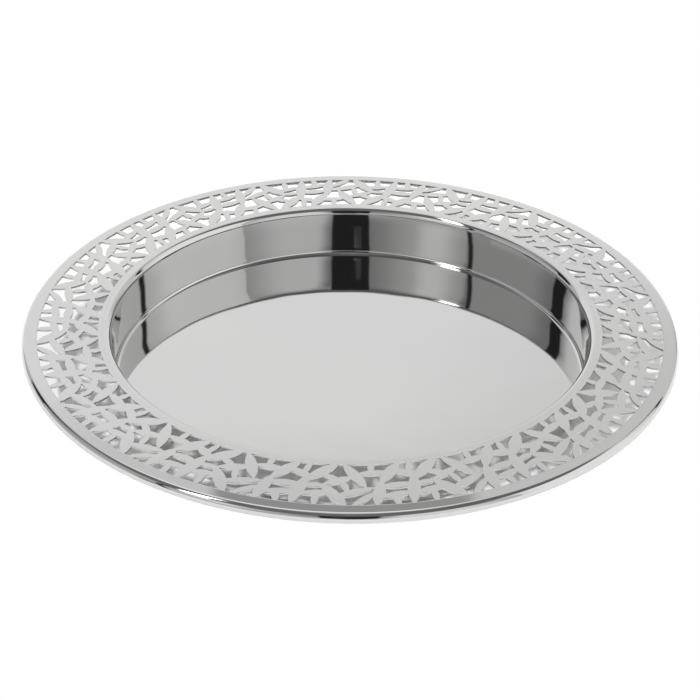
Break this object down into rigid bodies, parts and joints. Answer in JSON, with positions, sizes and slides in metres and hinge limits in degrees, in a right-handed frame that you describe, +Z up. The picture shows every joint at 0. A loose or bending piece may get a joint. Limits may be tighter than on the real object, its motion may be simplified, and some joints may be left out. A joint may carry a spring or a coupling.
{
  "type": "offering plate",
  "caption": "Round polished steel offering plate: a shallow flat-floored basin inside a wide flat rim pierced as a leaf lattice, with a turned-down hemmed edge.",
  "frame": {"origin": "centre of the underside of the basin's floor, on the surface the plate stands on", "axes": "+Z up, out of the basin's mouth and along the plate's axis; X and Y lie in the surface it stands on"},
  "size_m": [0.35, 0.35, 0.0304],
  "materials": {
    "basin_steel": "mirror polished stainless steel",
    "rim_steel": "mirror polished stainless steel, cut edges bright",
    "edge_steel": "mirror polished stainless steel",
    "wire_steel": "drawn wire",
    "solder": "dressed silver solder, satin"
  },
  "bodies": {
    "root": {"basin": "basin_steel", "pierced_ring": "rim_steel", "edge_ring": "edge_steel", "edge_wire": "wire_steel", "inner_seam": "solder", "outer_seam": "solder"}
  },
  "joints": []
}
